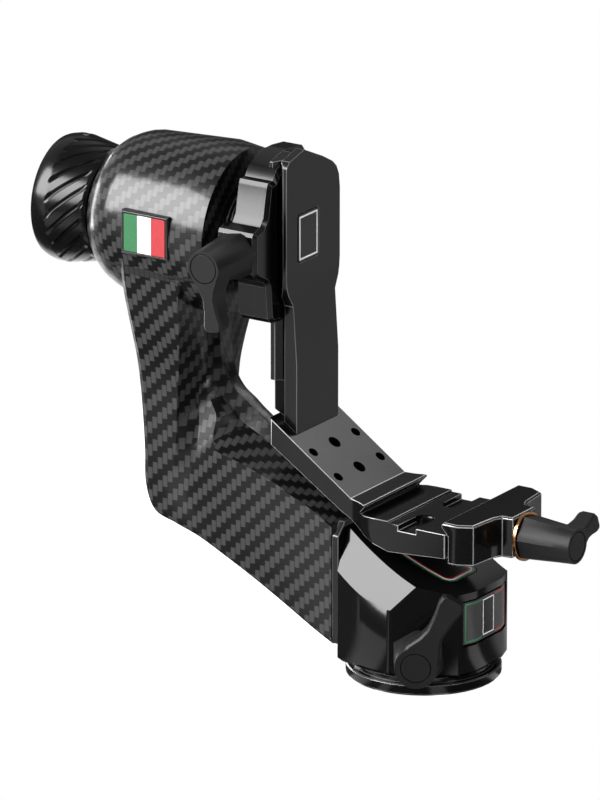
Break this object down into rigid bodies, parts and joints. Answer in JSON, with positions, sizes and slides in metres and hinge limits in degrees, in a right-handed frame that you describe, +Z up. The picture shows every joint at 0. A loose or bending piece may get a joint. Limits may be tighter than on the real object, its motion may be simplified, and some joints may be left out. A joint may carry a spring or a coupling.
{
  "type": "gimbal tripod head",
  "caption": "Side-mount gimbal head: pan base, moulded carbon arm, tilt axis with a fluted drag knob, and a height-adjustable swing arm with a lever-clamped dovetail cradle.",
  "frame": {"origin": "centre of the base plate's underside, where the pan axis meets the tripod's top plate", "axes": "+Z up along the pan axis, +X along the tilt axis from the drag knob towards the camera clamp, +Y away from the side with the lock levers"},
  "size_m": [0.2336, 0.0896, 0.202],
  "materials": {
    "anodised": "black anodised, satin, machined edges",
    "carbon": "twill carbon weave under clear coat",
    "moulded": "dark grey moulded, satin",
    "steel": "turned steel",
    "brass": "turned brass",
    "badge": "dark plate with a pale border",
    "flag": "green, white and red stripes"
  },
  "bodies": {
    "base": {"base_plate": "anodised", "tripod_insert": "steel", "pan_spindle": "steel", "base_screw_1": "steel", "base_screw_2": "steel", "base_screw_3": "steel", "lower_pan_bearing": "steel", "upper_pan_bearing": "steel", "spindle_nut": "steel"},
    "pan_head": {"base_housing": "anodised", "front_badge_plate": "badge", "top_trim_plate": "anodised", "arm_collar": "anodised", "carbon_arm": "carbon", "flag_frame": "anodised", "flag_plate": "flag", "front_tilt_bearing": "steel", "rear_tilt_bearing": "steel", "drag_washer": "brass"},
    "pan_lever": {"pan_lock_lever": "moulded", "pan_lever_cap": "moulded", "pan_lock_screw": "steel"},
    "pan_shoe": {"pan_brake_shoe": "brass"},
    "tilt_head": {"tilt_shaft": "steel", "tilt_hub": "anodised", "carriage": "anodised"},
    "drag_knob": {"drag_knob": "anodised", "knob_end_cap": "anodised"},
    "height_lever": {"height_lock_lever": "moulded", "height_lever_cap": "moulded", "height_clamp_screw": "steel"},
    "height_gib": {"height_gib": "brass"},
    "swing_arm": {"swing_arm": "anodised", "arm_badge": "badge", "cradle": "anodised", "near_guide_pin": "steel", "far_guide_pin": "steel"},
    "clamp_jaw": {"clamp_jaw": "anodised", "clamp_washer": "brass"},
    "clamp_lever": {"clamp_lever": "moulded", "clamp_lever_cap": "moulded", "clamp_screw": "steel"}
  },
  "joints": [
    {"name": "pan", "type": "hinge", "parent": "base", "child": "pan_head", "pos_m": [0, 0, 0.0157], "axis": [0, 0, 1], "continuous": true},
    {"name": "pan_lock", "type": "hinge", "parent": "pan_head", "child": "pan_lever", "pos_m": [0.01326, -0.02462, 0.0157], "axis": [0.4656, -0.885, 0], "range_deg": [-70, 110]},
    {"name": "pan_shoe_slide", "type": "slide", "parent": "pan_head", "child": "pan_shoe", "axis": [0.4656, -0.885, 0], "range_m": [-0.000159, 0.000249]},
    {"name": "tilt", "type": "hinge", "parent": "pan_head", "child": "tilt_head", "pos_m": [-0.08, 0, 0.1635], "axis": [1, 0, 0], "continuous": true},
    {"name": "drag", "type": "hinge", "parent": "tilt_head", "child": "drag_knob", "pos_m": [-0.15, 0, 0.1635], "axis": [1, 0, 0], "range_deg": [-90, 450]},
    {"name": "height_lock", "type": "hinge", "parent": "tilt_head", "child": "height_lever", "pos_m": [-0.064, -0.0336, 0.165], "axis": [0, -1, 0], "range_deg": [-60, 120]},
    {"name": "height_gib_slide", "type": "slide", "parent": "tilt_head", "child": "height_gib", "axis": [0, -1, 0], "range_m": [-0.000136, 0.000272]},
    {"name": "height", "type": "slide", "parent": "tilt_head", "child": "swing_arm", "axis": [0, 0, 1], "range_m": [0, 0.036]},
    {"name": "jaw", "type": "slide", "parent": "swing_arm", "child": "clamp_jaw", "axis": [1, 0, 0], "range_m": [-0.00252, 0.00102]},
    {"name": "clamp_turn", "type": "hinge", "parent": "clamp_jaw", "child": "clamp_lever", "pos_m": [0.0471, 0, 0.0629], "axis": [1, 0, 0], "range_deg": [-450, 180]}
  ],
  "couplings": [
    {"joint": "pan_shoe_slide", "follows": "pan_lock", "m_per_rad": 0.00012732},
    {"joint": "height_gib_slide", "follows": "height_lock", "m_per_rad": 0.00012732},
    {"joint": "jaw", "follows": "clamp_turn", "m_per_rad": 0.00031831}
  ]
}
